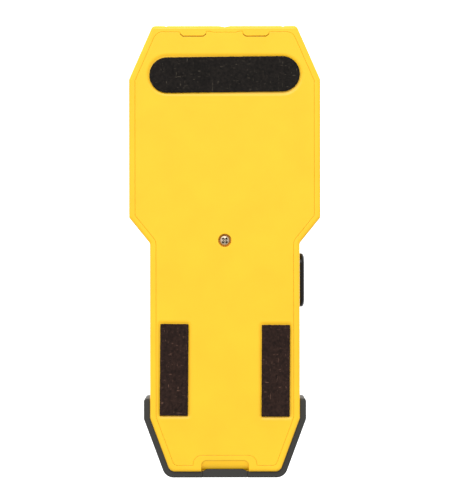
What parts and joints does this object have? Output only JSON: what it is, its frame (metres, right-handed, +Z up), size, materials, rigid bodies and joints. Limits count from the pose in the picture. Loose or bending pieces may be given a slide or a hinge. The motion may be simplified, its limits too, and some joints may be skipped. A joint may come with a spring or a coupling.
{
  "type": "stud finder",
  "caption": "Handheld stud finder: chamfered head, narrower handle, felt glide pads, side scan button, rubber foot boot with a hinged battery door, and an LED display on the front.",
  "frame": {"origin": "bottom centre of the bounding box, with the tool standing on its foot", "axes": "+Z up the tool from the foot to the sensing head, -Y the back that slides on the wall, +X the side of the scan button"},
  "size_m": [0.0754, 0.034, 0.178],
  "materials": {
    "shell_yellow": "satin moulded yellow plastic",
    "bumper_rubber": "matt dark grey overmoulded rubber",
    "grip_rubber": "matt dark grey rubber",
    "button_rubber": "satin black rubber",
    "felt_black": "short-pile black-brown felt",
    "bezel_black": "glossy black plastic",
    "light_guide_red": "translucent red plastic",
    "screw_steel": "zinc-plated steel",
    "board_green": "green solder mask",
    "copper": "bare copper",
    "chip_black": "matt black moulded plastic",
    "led_clear": "clear resin",
    "battery_wrap": "plain dark printed jacket",
    "terminal_nickel": "nickel plating",
    "snap_black": "soft black vinyl",
    "lead_red": "red wire insulation",
    "lead_black": "black plastic",
    "bay_plastic": "matt dark plastic",
    "foam_grey": "grey foam"
  },
  "bodies": {
    "housing": {"battery_bay": "bay_plastic", "battery_body": "battery_wrap", "battery_crown": "terminal_nickel", "battery_lead_black": "lead_black", "battery_lead_red": "lead_red", "battery_stud": "terminal_nickel", "board_header": "chip_black", "board_screw_1": "screw_steel", "board_screw_2": "screw_steel", "board_screw_3": "screw_steel", "board_screw_4": "screw_steel", "buzzer": "chip_black", "capacitor": "battery_wrap", "cover_screw": "screw_steel", "crystal": "screw_steel", "display_bezel": "bezel_black", "display_board": "board_green", "display_screw_1": "screw_steel", "display_screw_2": "screw_steel", "door_hinge_pin": "screw_steel", "felt_pad_left": "felt_black", "felt_pad_right": "felt_black", "felt_pad_top": "felt_black", "foot_bumper": "bumper_rubber", "front_grip": "grip_rubber", "front_shell": "shell_yellow", "led_arrow": "led_clear", "led_left_1": "led_clear", "led_left_2": "led_clear", "led_left_3": "led_clear", "led_ready": "led_clear", "led_right_1": "led_clear", "led_right_2": "led_clear", "led_right_3": "led_clear", "light_guide": "light_guide_red", "microcontroller": "chip_black", "rear_cover": "shell_yellow", "sense_amplifier": "chip_black", "sensor_board": "board_green", "sensor_plate_centre": "copper", "sensor_plate_left": "copper", "sensor_plate_right": "copper", "snap_connector": "snap_black", "snap_socket": "terminal_nickel", "snap_stud": "terminal_nickel", "switch_body": "chip_black"},
    "button": {"scan_button": "button_rubber"},
    "plunger": {"switch_plunger": "lead_black"},
    "door": {"battery_door": "bumper_rubber", "door_foam": "foam_grey"}
  },
  "joints": [
    {"name": "button_press", "type": "slide", "parent": "housing", "child": "button", "axis": [-1, 0, 0], "range_m": [0, 0.0008], "stiffness_N_per_m": 2500},
    {"name": "plunger_press", "type": "slide", "parent": "housing", "child": "plunger", "axis": [-1, 0, 0], "range_m": [0, 0.0008]},
    {"name": "door_hinge", "type": "hinge", "parent": "housing", "child": "door", "pos_m": [0, 0.0102, 0.002], "axis": [1, 0, 0], "range_deg": [0, 95]}
  ],
  "couplings": [
    {"joint": "plunger_press", "follows": "button_press", "ratio": 1}
  ]
}
